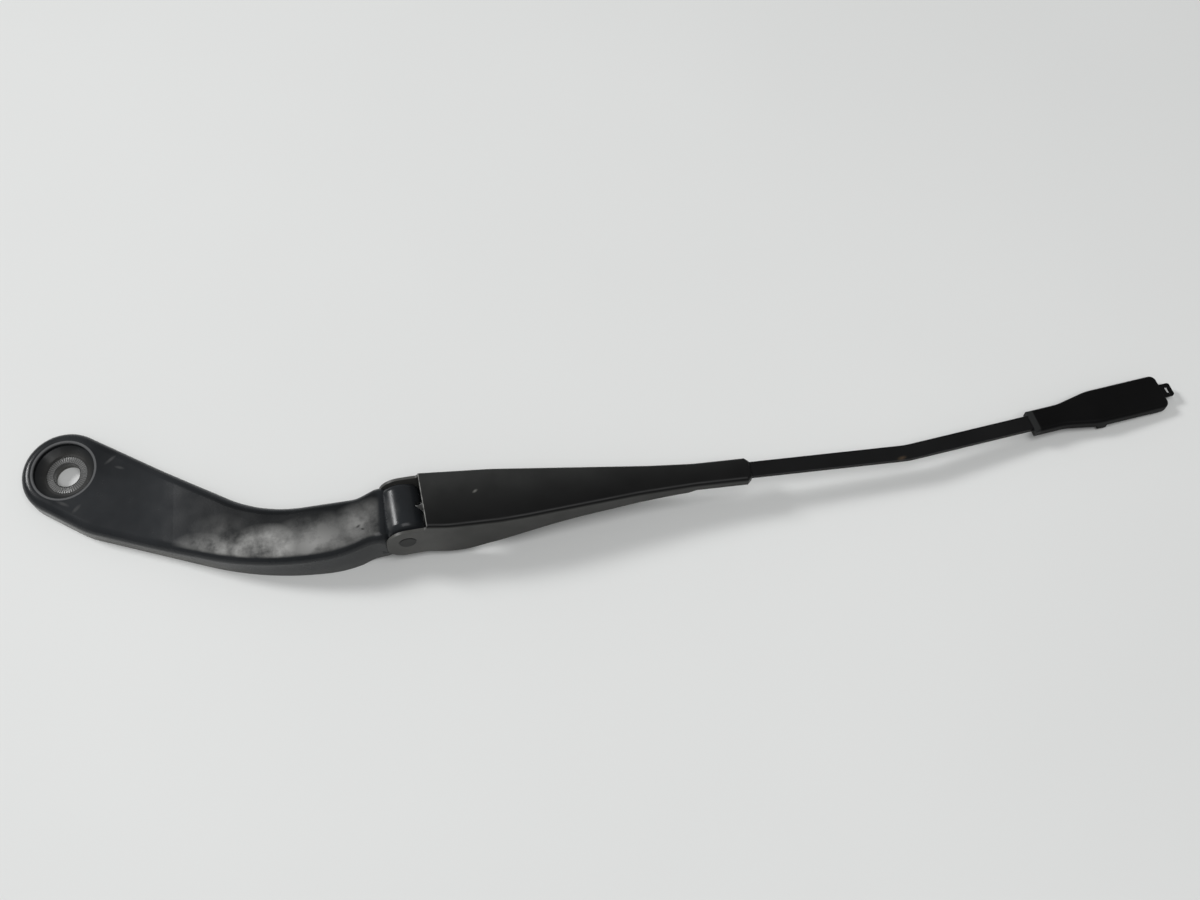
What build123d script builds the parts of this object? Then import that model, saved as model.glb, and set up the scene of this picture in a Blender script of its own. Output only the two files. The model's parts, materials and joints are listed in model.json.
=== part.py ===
"""Front wiper arm: cast head, sprung hinge, folded channel, flat rod and blade fitting.

Z is the axis of the spindle bore, z = 0 the seating face of the boss, X runs along the channel
towards the tip and Y points to the far side. Lengths are in millimetres.
"""
import os
from math import atan2, cos, degrees, hypot, radians, sin, tan

from build123d import *

os.makedirs("parts", exist_ok=True)

# Boss of the head
BOSS_R = 22.3
BOSS_TOP = 12.0
BORE_MOUTH_R = 7.0
BORE_TOP_R = 6.6
BORE_LAND = 2.5
RECESS_R = 15.4
RECESS_LIP = 0.5
RECESS_WALL = 2.5
CONE_INNER_R = 11.6
SEAT_Z = 6.4
SEAT_MARK_R = 10.4
SEAT_MARK_DEPTH = 0.3
HUB_R = 12.4
GROOVE_DEPTH = 3.2

# Body of the head, seen from above at its lower edge and from the side
FAR_FLANK_DEG = 31.4
HIP_FLANK_DEG = 33.0
NEAR_FLANK_DEG = 20.0
HIP_X = 11.6
FAR_EDGE_Y = -36.2
BELLY_Y = -66.0
BELLY_RUN = 12.7242
NECK_RUN = 14.0
NECK_Y = -61.2
FLARE_START_X = 150.0
FLARE_END = (163.0, -30.6)
HEAD_END_X = 167.0
HEAD_END_TOP = 26.8
HEAD_END_BOTTOM = 5.2
UNDER_RISE_X = 149.0
RISE_START_X = 48.0
FAR_BEND_R = 75.0
HIP_BEND_R = 45.0
NEAR_BEND_R = 165.0
BELLY_TURN_R = 60.0
NECK_BEND_R = 20.0
FLARE_BEND_R = 16.0
RISE_BEND_R = 140.0
SHOULDER_R = 8.0
TOP_EDGE_R = 4.8
SKIRT = 3.4
ROOF = 3.2
HOLLOW_START_X = 29.0
HOLLOW_END_X = 148.0
RIB = 2.2
RIB_LIFT = 2.5
RIB_STATIONS = ((52.0, -44.0), (72.0, -22.0), (94.0, -59.0), (114.0, -39.0), (134.0, -62.0))
RIB_ENDS_Y = (-10.0, -40.0)

# Hinge, with the arm rolled, pitched and turned against the head
HINGE = (172.1, -45.9, 17.7)
ROLL = 5.0
PITCH = 3.2
YAW = 6.0
BARREL_R = 11.0
BARREL_EDGE_R = 4.0
TONGUE_HALF = 13.4
CHEEK_BACK = 13.0
CHEEK_FRONT = 6.5
CHEEK_TOP = 2.0
CHEEK_BOTTOM = 12.0
CHEEK_CORNER_R = 3.0
SLOT_HALF = 5.5
SLOT_R = 9.0
SLOT_TOP = 4.0
NOTCH_APEX = (6.2, 0.9)
NOTCH_END = (12.0, 3.9)
POCKET = 10.7
EAR_CLEARANCE = 0.3
PIN_R = 3.0
PIN_HEAD_R = 4.25
PIN_PROUD = 0.2
BUSH_R = 4.2
BUSH_FLANGE_R = 6.5
BUSH_FLANGE = 0.7
RUN_CLEARANCE = 0.06
PRESS_CLEARANCE = 0.02
HEAD_HOLE_CLEARANCE = 0.05

# Channel, whose sleeve end leans to the near side; wall corners carry their bend radius
SHEET = 1.4
FOLD_R = 2.0
PANEL_Z = 13.6
PANEL_BACK_X = 10.0
EAR_R = 10.3
EAR_CORNER_R = 9.0
EAR_THROAT_R = 1.6
CHANNEL_HALF = 15.6
WALL_BOTTOM = -13.0
WALL_FLAT_END_X = 24.0
FAR_WALL = ((9.0, 15.6, 80.0), (46.0, 11.3, 150.0), (124.0, -1.7, 150.0))
NEAR_WALL = (
    (9.0, -15.6, 25.0), (20.0, -17.6, 40.0), (46.0, -19.2, 60.0),
    (60.0, -19.2, 150.0), (117.0, -17.5, 150.0),
)
WALL_CURVE = ((117.0, 4.8), (76.0, 0.6), (56.0, -4.0), (38.0, -9.6))
SLEEVE_X = 146.0
SLEEVE_Y = -11.3
SLEEVE_LENGTH = 29.0
SLEEVE_HALF = 6.6
SLEEVE_BEND_R = 60.0
SLEEVE_CORNER = 2.2
SLEEVE_SEAM = 0.8
STEP_LENGTH = 4.0
STEP_DROP = 1.6

# Rod
ROD_W = 8.2
ROD_T = 2.4
ROD_FIT = 0.1
ROD_TAIL_X = 98.0
ROD_BEND_X = 257.0
ROD_END_X = 346.0
ROD_HEADING = -3.7
TIP_HEADING = 4.2
ROD_BEND_R = 45.0
TAIL_DROP = 4.4
TAIL_FLAT_END_X = 112.0
TAIL_RISE_END_X = 128.0
HOOK_HOLE_R = 1.9

# Blade fitting
TIP_START_X = 326.6
TIP_SHEET = 1.3
TIP_FOLD_R = 1.8
NECK_HALF = 6.5
NECK_LENGTH = 18.0
FLARE_LENGTH = 18.0
SOCKET_HALF = 10.0
TIP_LENGTH = 77.0
TIP_BEND_R = 30.0
TIP_CORNER_R = 3.6
TIP_FRONT_BOTTOM = -0.6
RAMP_LENGTH = 3.0
RAMP_DROP = 0.9
FOOT_GAP = 0.05
FOOT_LENGTH = 5.0
FOOT_BEHIND_FRONT = 8.0
FOOT_PAST_FLARE = 2.5
CRIMP_START = 1.5
CRIMP_END = 12.0
TAB_HALF = 3.9
TAB_LENGTH = 5.0
TAB_OFFSET = -0.7
TAB_SINK = 0.2
EYE_LENGTH = 4.0
EYE_WIDTH = 1.8

# Spring and link
ANCHOR = (3.0, -8.0)
ANCHOR_R = 2.2
ANCHOR_EDGE = 0.4
HOOK_HOLE_X = 104.0
LINK_LENGTH = 40.0
LINK_HALF = 1.6
LINK_EYE_R = 4.0
LINK_END_R = 3.4
LINK_T = 2.0
LINK_HOLE_R = 1.5
WIRE_R = 0.95
COIL_R = 4.6
COIL_START = 12.0
COIL_END = 48.0
HOOK_REACH = 3.6
COLLAR_SHARE = 1.15

STOCK = 60.0

# Frames: each has a top plane and a side plane that looks from the near side
def side_plane(frame):
    """Plane with x along the frame and y along its height, facing the near side."""
    return Plane(frame * Location((0, 0, 0), (90, 0, 0)))


def rod_line(x):
    """Sideways place of the rod before and after its bend."""
    straight = SLEEVE_Y + (min(x, ROD_BEND_X) - SLEEVE_X) * tan(radians(ROD_HEADING))
    return straight + max(x - ROD_BEND_X, 0) * tan(radians(TIP_HEADING))


ROD_Z = PANEL_Z - SHEET - ROD_T / 2
TAIL_Z = ROD_Z - TAIL_DROP
link_angle = degrees(atan2(TAIL_Z - ANCHOR[1], HOOK_HOLE_X - ANCHOR[0]))
link_end_x = ANCHOR[0] + LINK_LENGTH * cos(radians(link_angle))
link_end_z = ANCHOR[1] + LINK_LENGTH * sin(radians(link_angle))
spring_run = hypot(HOOK_HOLE_X - link_end_x, rod_line(HOOK_HOLE_X))
spring_span = hypot(spring_run, TAIL_Z - link_end_z)
spring_heading = degrees(atan2(rod_line(HOOK_HOLE_X), HOOK_HOLE_X - link_end_x))
spring_angle = degrees(atan2(TAIL_Z - link_end_z, spring_run))

arm_frame = Location(HINGE, (-ROLL, PITCH, YAW))
tip_frame = arm_frame * Location((TIP_START_X, rod_line(TIP_START_X), ROD_Z), (0, 0, TIP_HEADING))
link_frame = arm_frame * Location((ANCHOR[0], 0, ANCHOR[1]), (0, -link_angle, 0))
spring_turn = Location((0, 0, 0), (0, 0, spring_heading)) * Location((0, 0, 0), (0, -spring_angle, 0))
spring_frame = arm_frame * Location((link_end_x, 0, link_end_z)) * spring_turn
arm_top = Plane(arm_frame)
arm_side = side_plane(arm_frame)
tip_top = Plane(tip_frame)
tip_side = side_plane(tip_frame)
link_side = side_plane(link_frame)
spring_top = Plane(spring_frame)
spring_side = side_plane(spring_frame)
sleeve_top = Plane(arm_frame * Location((SLEEVE_X, SLEEVE_Y, 0), (0, 0, ROD_HEADING)))
roof_side = Plane((0, 0, -ROOF), x_dir=(1, 0, 0), z_dir=(0, -1, 0))


def near_vertex(outline, point):
    """The corner of a flat outline closest to a point of its own plane."""
    return outline.vertices().sort_by_distance(Vector(point[0], point[1], 0))[0]


# Outline of the head from above
far_start = (BOSS_R * sin(radians(FAR_FLANK_DEG)), BOSS_R * cos(radians(FAR_FLANK_DEG)))
near_start = (-BOSS_R * sin(radians(HIP_FLANK_DEG)), -BOSS_R * cos(radians(HIP_FLANK_DEG)))
far_knee = (far_start[0] + (far_start[1] - FAR_EDGE_Y) / tan(radians(FAR_FLANK_DEG)), FAR_EDGE_Y)
hip = (HIP_X, near_start[1] - (HIP_X - near_start[0]) * tan(radians(HIP_FLANK_DEG)))
near_knee = (hip[0] + (hip[1] - BELLY_Y) / tan(radians(NEAR_FLANK_DEG)), BELLY_Y)
near_bend_run = NEAR_BEND_R * tan(radians(NEAR_FLANK_DEG / 2))
belly_turn = (near_knee[0] + near_bend_run + BELLY_RUN, BELLY_Y)
neck = (belly_turn[0] + NECK_RUN, NECK_Y)
flare_start = (FLARE_START_X, FAR_EDGE_Y)
plan_bends = (
    (far_knee, FAR_BEND_R), (flare_start, FLARE_BEND_R), (FLARE_END, FLARE_BEND_R),
    (neck, NECK_BEND_R), (belly_turn, BELLY_TURN_R), (near_knee, NEAR_BEND_R), (hip, HIP_BEND_R),
)

with BuildSketch() as head_plan:
    with BuildLine():
        ThreePointArc(near_start, (-BOSS_R, 0), far_start)
        Polyline(
            far_start, far_knee, flare_start, FLARE_END, (HEAD_END_X, FLARE_END[1]),
            (HEAD_END_X, NECK_Y), neck, belly_turn, near_knee, hip, near_start,
        )
    make_face()
    for corner, radius in plan_bends:
        fillet(near_vertex(head_plan, corner), radius)

# Side view of the head, rounded off where the hinge barrel begins
with BuildSketch(Plane.XZ) as head_profile:
    with BuildLine():
        Polyline(
            (-2 * BOSS_R, 0), (UNDER_RISE_X, 0), (HEAD_END_X, HEAD_END_BOTTOM),
            (HEAD_END_X, HEAD_END_TOP), (RISE_START_X, BOSS_TOP), (-2 * BOSS_R, BOSS_TOP), close=True,
        )
    make_face()
    fillet(near_vertex(head_profile, (RISE_START_X, BOSS_TOP)), RISE_BEND_R)
    fillet(near_vertex(head_profile, (HEAD_END_X, HEAD_END_TOP)), SHOULDER_R)

# Hollow under the body, following the outline and the roof
with BuildPart() as head_hollow:
    with BuildSketch():
        add(head_plan.sketch)
        offset(amount=-SKIRT)
    extrude(amount=STOCK)
    with BuildSketch(roof_side):
        add(head_profile.sketch_local)
    extrude(amount=2 * STOCK, both=True, mode=Mode.INTERSECT)
    with BuildSketch(Plane.XZ):
        with BuildLine():
            Polyline(
                (HOLLOW_START_X, -STOCK), (HOLLOW_END_X, -STOCK), (HOLLOW_END_X, STOCK),
                (HOLLOW_START_X, STOCK), close=True,
            )
        make_face()
    extrude(amount=2 * STOCK, both=True, mode=Mode.INTERSECT)

# Zigzag ribs inside the hollow
with BuildPart() as head_ribs:
    with BuildSketch(Plane.XY.offset(RIB_LIFT)):
        with BuildLine():
            Polyline((HOLLOW_START_X, RIB_ENDS_Y[0]), *RIB_STATIONS, (HOLLOW_END_X, RIB_ENDS_Y[1]))
        trace(line_width=RIB)
    extrude(amount=STOCK)
    with BuildSketch():
        add(head_plan.sketch)
        offset(amount=-SKIRT / 2)
    extrude(amount=STOCK, mode=Mode.INTERSECT)
    with BuildSketch(roof_side):
        add(head_profile.sketch_local)
    extrude(amount=2 * STOCK, both=True, mode=Mode.INTERSECT)

# Barrel of the hinge with its soft ends
with BuildPart() as barrel:
    with BuildSketch(arm_side):
        Circle(BARREL_R)
    extrude(amount=TONGUE_HALF, both=True)
    fillet(barrel.edges().filter_by(GeomType.CIRCLE), BARREL_EDGE_R)

# Cast head
with BuildPart() as arm_head:
    with BuildSketch():
        add(head_plan.sketch)
    extrude(amount=STOCK)
    with BuildSketch(Plane.XZ):
        add(head_profile.sketch_local)
    extrude(amount=2 * STOCK, both=True, mode=Mode.INTERSECT)
    rims = arm_head.faces().filter_by(lambda f: f.normal_at().Z > 0.9).edges()
    rims = rims.filter_by(Axis.Y, reverse=True)
    fillet(rims, TOP_EDGE_R)
    add(head_hollow.part, mode=Mode.SUBTRACT)
    add(head_ribs.part)
    # Groove round the hub under the boss
    with BuildSketch():
        Circle(BOSS_R - SKIRT)
        Circle(HUB_R, mode=Mode.SUBTRACT)
    extrude(amount=GROOVE_DEPTH, mode=Mode.SUBTRACT)
    # Room for the turning ears
    for side in (-1, 1):
        with BuildSketch(arm_side.offset(side * TONGUE_HALF)):
            Circle(POCKET)
            with BuildLine():
                Polyline((-POCKET, 0), (-POCKET, -STOCK), (STOCK, -STOCK), (STOCK, 0), close=True)
            make_face()
        extrude(amount=side * STOCK, mode=Mode.SUBTRACT)
    # Barrel and cheeks between the ears
    add(barrel.part)
    with BuildSketch(arm_side) as cheek_profile:
        with BuildLine():
            Polyline(
                (-CHEEK_BACK, -CHEEK_BOTTOM), (CHEEK_FRONT, -CHEEK_BOTTOM),
                (CHEEK_FRONT, CHEEK_TOP), (-CHEEK_BACK, CHEEK_TOP), close=True,
            )
        make_face()
        fillet(near_vertex(cheek_profile, (CHEEK_FRONT, -CHEEK_BOTTOM)), CHEEK_CORNER_R)
    extrude(amount=TONGUE_HALF, both=True)
    with BuildSketch(arm_side):
        with BuildLine():
            Polyline(
                (CHEEK_FRONT, -CHEEK_BOTTOM), (STOCK, -CHEEK_BOTTOM),
                (STOCK, CHEEK_TOP), (CHEEK_FRONT, CHEEK_TOP), close=True,
            )
        make_face()
    extrude(amount=STOCK, both=True, mode=Mode.SUBTRACT)
    # Slot for the link, open below and at the end, with a notch through its roof
    with BuildSketch(arm_side):
        Circle(SLOT_R)
        with BuildLine():
            Polyline(
                (-SLOT_R, 0), (-SLOT_R, -STOCK), (STOCK, -STOCK), (STOCK, SLOT_TOP),
                (0, SLOT_TOP), (0, 0), close=True,
            )
        make_face()
    extrude(amount=SLOT_HALF, both=True, mode=Mode.SUBTRACT)
    with BuildSketch(arm_top):
        with BuildLine():
            Polyline(
                (NOTCH_APEX[0], -NOTCH_APEX[1]), (NOTCH_END[0], -NOTCH_END[1]),
                NOTCH_END, NOTCH_APEX, close=True,
            )
        make_face()
    extrude(amount=STOCK, mode=Mode.SUBTRACT)
    # Bush and anchor holes
    with BuildSketch(arm_side):
        Circle(BUSH_R + PRESS_CLEARANCE)
        with Locations(ANCHOR):
            Circle(ANCHOR_R + PRESS_CLEARANCE)
    extrude(amount=TONGUE_HALF + EAR_CLEARANCE, both=True, mode=Mode.SUBTRACT)
    # Spindle bore, nut seat and cap recess
    mark_z = SEAT_Z - SEAT_MARK_DEPTH
    wall_top = BOSS_TOP - RECESS_LIP
    with BuildSketch(Plane.XZ):
        with BuildLine():
            Polyline(
                (0, -1), (BORE_MOUTH_R, -1), (BORE_MOUTH_R, BORE_LAND), (BORE_TOP_R, mark_z),
                (SEAT_MARK_R, mark_z), (SEAT_MARK_R, SEAT_Z), (CONE_INNER_R, SEAT_Z),
                (RECESS_R, wall_top - RECESS_WALL), (RECESS_R, wall_top),
                (RECESS_R + STOCK, wall_top + STOCK), (0, wall_top + STOCK), close=True,
            )
        make_face()
    revolve(axis=Axis.Z, mode=Mode.SUBTRACT)

# Anchor pin and flanged bushes
with BuildPart() as anchor_pin:
    with BuildSketch(arm_side):
        with Locations(ANCHOR):
            Circle(ANCHOR_R)
    extrude(amount=TONGUE_HALF - EAR_CLEARANCE, both=True)
    chamfer(anchor_pin.edges().filter_by(GeomType.CIRCLE), ANCHOR_EDGE)


def hinge_bush(side):
    """Flanged bush in one cheek of the tongue; side is 1 for the near cheek."""
    with BuildPart() as bush:
        with BuildSketch(arm_side.offset(side * SLOT_HALF)):
            Circle(BUSH_R)
            Circle(PIN_R + RUN_CLEARANCE, mode=Mode.SUBTRACT)
        extrude(amount=side * (TONGUE_HALF - SLOT_HALF))
        with BuildSketch(arm_side.offset(side * TONGUE_HALF)):
            Circle(BUSH_FLANGE_R)
            Circle(PIN_R + RUN_CLEARANCE, mode=Mode.SUBTRACT)
        extrude(amount=side * BUSH_FLANGE)
    return bush


hinge_bush_near = hinge_bush(1)
hinge_bush_far = hinge_bush(-1)

# Hinge rivet, with its ends spread flush in the ears
with BuildPart() as hinge_pin:
    with BuildSketch(arm_side):
        Circle(PIN_R)
    extrude(amount=CHANNEL_HALF, both=True)
    for side in (-1, 1):
        with BuildSketch(arm_side.offset(side * (CHANNEL_HALF - SHEET))):
            Circle(PIN_HEAD_R)
        extrude(amount=side * (SHEET + PIN_PROUD))
    pin_ends = hinge_pin.edges().filter_by(GeomType.CIRCLE).sort_by(Axis(HINGE, arm_top.y_dir))
    chamfer([pin_ends[0], pin_ends[-1]], PIN_PROUD)

# Folded channel
sleeve_dir = Vector(cos(radians(ROD_HEADING)), sin(radians(ROD_HEADING)))
sleeve_out = Vector(-sleeve_dir.Y, sleeve_dir.X)
sleeve_back = Vector(SLEEVE_X, SLEEVE_Y)
sleeve_front = sleeve_back + sleeve_dir * SLEEVE_LENGTH
sleeve_corners = [
    tuple(end + sleeve_out * side * SLEEVE_HALF)[:2]
    for end, side in ((sleeve_back, 1), (sleeve_front, 1), (sleeve_front, -1), (sleeve_back, -1))
]
SLEEVE_BOTTOM = PANEL_Z - 2 * SHEET - ROD_T - ROD_FIT
channel_back = -2 * EAR_R
wall_bends = FAR_WALL + NEAR_WALL + tuple((*sleeve_corners[k], SLEEVE_BEND_R) for k in (0, 3))

with BuildSketch(arm_top.offset(PANEL_Z)) as channel_plan:
    with BuildLine():
        Polyline(
            (channel_back, CHANNEL_HALF), *[(x, y) for x, y, bend in FAR_WALL], *sleeve_corners,
            *[(x, y) for x, y, bend in reversed(NEAR_WALL)], (channel_back, -CHANNEL_HALF), close=True,
        )
    make_face()
    for x, y, bend in wall_bends:
        fillet(near_vertex(channel_plan, (x, y)), bend)
    for corner in sleeve_corners[1:3]:
        chamfer(near_vertex(channel_plan, corner), SLEEVE_CORNER)

with BuildPart() as channel:
    with BuildSketch(arm_top.offset(PANEL_Z)):
        add(channel_plan.sketch_local)
    extrude(amount=-STOCK)
    panel_face = channel.faces().sort_by(Axis(HINGE, arm_top.z_dir))[-1]
    fillet(panel_face.edges(), FOLD_R)
    with BuildSketch(arm_top.offset(PANEL_Z - SHEET)):
        add(channel_plan.sketch_local)
        offset(amount=-SHEET)
    extrude(amount=-STOCK, mode=Mode.SUBTRACT)
    # Side view: round ears, sweeping lower edge, shallow sleeve
    far_end = SLEEVE_X + 2 * SLEEVE_LENGTH
    step = (SLEEVE_X - STEP_LENGTH, SLEEVE_BOTTOM - STEP_DROP)
    half_ear = EAR_R / hypot(1, 1)
    with BuildSketch(arm_side) as channel_profile:
        with BuildLine():
            ThreePointArc((-EAR_R, 0), (-half_ear, half_ear), (0, EAR_R))
            Polyline(
                (0, EAR_R), (PANEL_BACK_X, EAR_R), (PANEL_BACK_X, STOCK), (far_end, STOCK),
                (far_end, SLEEVE_BOTTOM), (SLEEVE_X, SLEEVE_BOTTOM), step,
            )
            Spline(step, *WALL_CURVE, (WALL_FLAT_END_X, WALL_BOTTOM), tangents=((-1, 0), (-1, 0)))
            Polyline((WALL_FLAT_END_X, WALL_BOTTOM), (-EAR_R, WALL_BOTTOM), (-EAR_R, 0))
        make_face()
        fillet(near_vertex(channel_profile, (-EAR_R, WALL_BOTTOM)), EAR_CORNER_R)
        fillet(near_vertex(channel_profile, (PANEL_BACK_X, EAR_R)), EAR_THROAT_R)
    extrude(amount=STOCK, both=True, mode=Mode.INTERSECT)
    # Flanges folded under the rod in the sleeve, with a seam between them
    with BuildSketch(sleeve_top.offset(SLEEVE_BOTTOM)):
        flange_width = SLEEVE_HALF - SHEET / 2 - SLEEVE_SEAM / 2
        for side in (-1, 1):
            with Locations((SLEEVE_LENGTH / 2, side * (SLEEVE_SEAM + flange_width) / 2)):
                Rectangle(SLEEVE_LENGTH - 2 * SLEEVE_CORNER, flange_width)
    extrude(amount=SHEET)
    # Way out for the rod
    with BuildSketch(sleeve_top.offset(SLEEVE_BOTTOM + SHEET)):
        with Locations((SLEEVE_LENGTH, 0)):
            Rectangle(SLEEVE_LENGTH, ROD_W + 2 * ROD_FIT)
    extrude(amount=ROD_T + ROD_FIT, mode=Mode.SUBTRACT)
    # Rivet holes
    with BuildSketch(arm_side):
        Circle(PIN_HEAD_R + HEAD_HOLE_CLEARANCE)
    extrude(amount=STOCK, both=True, mode=Mode.SUBTRACT)

# Flat rod, bent sideways and dropped at its tail
with BuildPart() as rod:
    with BuildSketch(arm_top):
        with BuildLine():
            FilletPolyline(
                *[(x, rod_line(x)) for x in (ROD_TAIL_X, ROD_BEND_X, ROD_END_X)], radius=ROD_BEND_R,
            )
        trace(line_width=ROD_W)
    extrude(amount=STOCK)
    with BuildSketch(arm_side):
        with BuildLine():
            FilletPolyline(
                (0, TAIL_Z), (TAIL_FLAT_END_X, TAIL_Z), (TAIL_RISE_END_X, ROD_Z), (2 * ROD_END_X, ROD_Z),
                radius=2 * ROD_T,
            )
        trace(line_width=ROD_T)
    extrude(amount=STOCK, both=True, mode=Mode.INTERSECT)
    with BuildSketch(arm_top):
        with Locations((HOOK_HOLE_X, rod_line(HOOK_HOLE_X))):
            Circle(HOOK_HOLE_R)
    extrude(amount=STOCK, mode=Mode.SUBTRACT)

# Pressed blade fitting, crimped on the end of the rod
TIP_TOP = ROD_T / 2 + TIP_SHEET
TIP_BOTTOM = -ROD_T / 2 - ROD_FIT - TIP_SHEET
flare_end = NECK_LENGTH + FLARE_LENGTH
with BuildSketch(tip_top.offset(TIP_TOP)) as tip_plan:
    with BuildLine():
        Polyline(
            (0, NECK_HALF), (NECK_LENGTH, NECK_HALF), (flare_end, SOCKET_HALF),
            (TIP_LENGTH, SOCKET_HALF), (TIP_LENGTH, -SOCKET_HALF), (flare_end, -SOCKET_HALF),
            (NECK_LENGTH, -NECK_HALF), (0, -NECK_HALF), close=True,
        )
    make_face()
    for side in (-1, 1):
        fillet(near_vertex(tip_plan, (NECK_LENGTH, side * NECK_HALF)), TIP_BEND_R)
        fillet(near_vertex(tip_plan, (flare_end, side * SOCKET_HALF)), TIP_BEND_R)
        fillet(near_vertex(tip_plan, (TIP_LENGTH, side * SOCKET_HALF)), TIP_CORNER_R)

with BuildPart() as end_fitting:
    with BuildSketch(tip_top.offset(TIP_TOP)):
        add(tip_plan.sketch_local)
    extrude(amount=-STOCK)
    crown = end_fitting.faces().sort_by(Axis(tip_top.origin, tip_top.z_dir))[-1]
    fillet(crown.edges().filter_by(lambda e: tip_top.to_local_coords(e.center()).X > 1), TIP_FOLD_R)
    with BuildSketch(tip_top.offset(TIP_TOP - TIP_SHEET)):
        add(tip_plan.sketch_local)
        offset(amount=-TIP_SHEET)
    extrude(amount=-STOCK, mode=Mode.SUBTRACT)
    # Side view: sloped rear edge, low front, and feet that reach the ground on the far side
    with BuildSketch(tip_side):
        with BuildLine():
            Polyline(
                (0, TIP_TOP - RAMP_DROP), (0, TIP_BOTTOM), (TIP_LENGTH - TIP_CORNER_R, TIP_BOTTOM),
                (TIP_LENGTH, TIP_FRONT_BOTTOM), (TIP_LENGTH, TIP_TOP), (RAMP_LENGTH, TIP_TOP), close=True,
            )
        make_face()
        for position in (flare_end + FOOT_PAST_FLARE, TIP_LENGTH - FOOT_BEHIND_FRONT):
            corner = tip_top.from_local_coords((position + FOOT_LENGTH / 2, SOCKET_HALF, TIP_BOTTOM))
            with Locations((position, TIP_BOTTOM)):
                Rectangle(FOOT_LENGTH, 2 * (corner.Z - FOOT_GAP))
    extrude(amount=STOCK, both=True, mode=Mode.INTERSECT)
    # Flanges folded under the rod
    with BuildSketch(tip_top.offset(TIP_BOTTOM)):
        crimp_width = NECK_HALF - TIP_SHEET / 2 - SLEEVE_SEAM / 2
        for side in (-1, 1):
            with Locations(((CRIMP_START + CRIMP_END) / 2, side * (SLEEVE_SEAM + crimp_width) / 2)):
                Rectangle(CRIMP_END - CRIMP_START, crimp_width)
    extrude(amount=TIP_SHEET)
    # Way in for the rod
    with BuildSketch(tip_top.offset(TIP_BOTTOM + TIP_SHEET)):
        Rectangle(NECK_LENGTH, ROD_W + 2 * ROD_FIT)
    extrude(amount=ROD_T + ROD_FIT, mode=Mode.SUBTRACT)
    # Looped tab on the front edge
    with BuildSketch(tip_top.offset(TIP_TOP - TIP_SHEET)) as tab_plan:
        with Locations((TIP_LENGTH, TAB_OFFSET)):
            Rectangle(2 * TAB_LENGTH, 2 * TAB_HALF)
        fillet(tab_plan.vertices().group_by(Axis.X)[-1], TIP_SHEET)
        with Locations((TIP_LENGTH + TAB_LENGTH / 2 - TAB_SINK, TAB_OFFSET)):
            SlotOverall(EYE_LENGTH, EYE_WIDTH, rotation=90, mode=Mode.SUBTRACT)
    extrude(amount=TIP_SHEET - TAB_SINK)

# Spring link, with an eye on the anchor and a hole for the spring
with BuildPart() as spring_link:
    with BuildSketch(link_side):
        Circle(LINK_EYE_R)
        with Locations((LINK_LENGTH / 2, 0)):
            Rectangle(LINK_LENGTH, 2 * LINK_HALF)
        with Locations((LINK_LENGTH, 0)):
            Circle(LINK_END_R)
            Circle(LINK_HOLE_R, mode=Mode.SUBTRACT)
        Circle(ANCHOR_R + RUN_CLEARANCE, mode=Mode.SUBTRACT)
    extrude(amount=LINK_T / 2, both=True)

# Close-wound tension spring, plain between its end collars, with a hook at each end
coil_inner = COIL_R - COLLAR_SHARE * WIRE_R
collar_outer = COIL_R + COLLAR_SHARE * WIRE_R
with BuildPart() as spring:
    with BuildSketch(spring_side):
        with BuildLine():
            Polyline(
                (COIL_START, coil_inner), (COIL_START, collar_outer),
                (COIL_START + 2 * WIRE_R, collar_outer), (COIL_START + 2 * WIRE_R, COIL_R + WIRE_R),
                (COIL_END - 2 * WIRE_R, COIL_R + WIRE_R), (COIL_END - 2 * WIRE_R, collar_outer),
                (COIL_END, collar_outer), (COIL_END, coil_inner), close=True,
            )
        make_face()
    revolve(axis=Axis(spring_top.origin, spring_top.x_dir))
    # Hooks leave the plain end turns and turn square into their holes
    rod_hook_start = (COIL_END - WIRE_R, -COIL_R)
    with BuildLine(spring_side) as rod_hook:
        Polyline(rod_hook_start, (spring_span, -COIL_R), (spring_span, HOOK_REACH))
    with BuildSketch(Plane(spring_side.from_local_coords((*rod_hook_start, 0)), z_dir=spring_top.x_dir)):
        Circle(WIRE_R)
    sweep(path=rod_hook.wires()[0], transition=Transition.RIGHT)
    link_hook_start = (COIL_START + WIRE_R, COIL_R)
    with BuildLine(spring_top) as link_hook:
        Polyline(link_hook_start, (0, COIL_R), (0, -HOOK_REACH))
    with BuildSketch(Plane(spring_top.from_local_coords((*link_hook_start, 0)), z_dir=-spring_top.x_dir)):
        Circle(WIRE_R)
    sweep(path=link_hook.wires()[0], transition=Transition.RIGHT)

pieces = {
    "arm_head": arm_head,
    "anchor_pin": anchor_pin,
    "hinge_bush_near": hinge_bush_near,
    "hinge_bush_far": hinge_bush_far,
    "hinge_pin": hinge_pin,
    "channel": channel,
    "rod": rod,
    "end_fitting": end_fitting,
    "spring_link": spring_link,
    "spring": spring,
}
for label, piece in pieces.items():
    piece.part.label = label
    export_step(piece.part, f"parts/{label}.step")
    box = piece.part.bounding_box()
    print(label, len(piece.part.solids()), round(piece.part.volume), box.min, box.max)
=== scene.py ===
# %% [markdown]
# A front wiper arm lies on a pale table. Its solids come from the imported model and already have their
# place and size, so this lesson adds what the model leaves open: the paint and its wear, the bare
# steel of the hinge works, a true wound spring, the table, the light and the camera. We start from an
# empty file.

# %% Load the model
import json
from math import acos, asin, atan2, cos, pi, radians, sin

import bmesh
import bpy
from mathutils import Matrix, Vector

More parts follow.
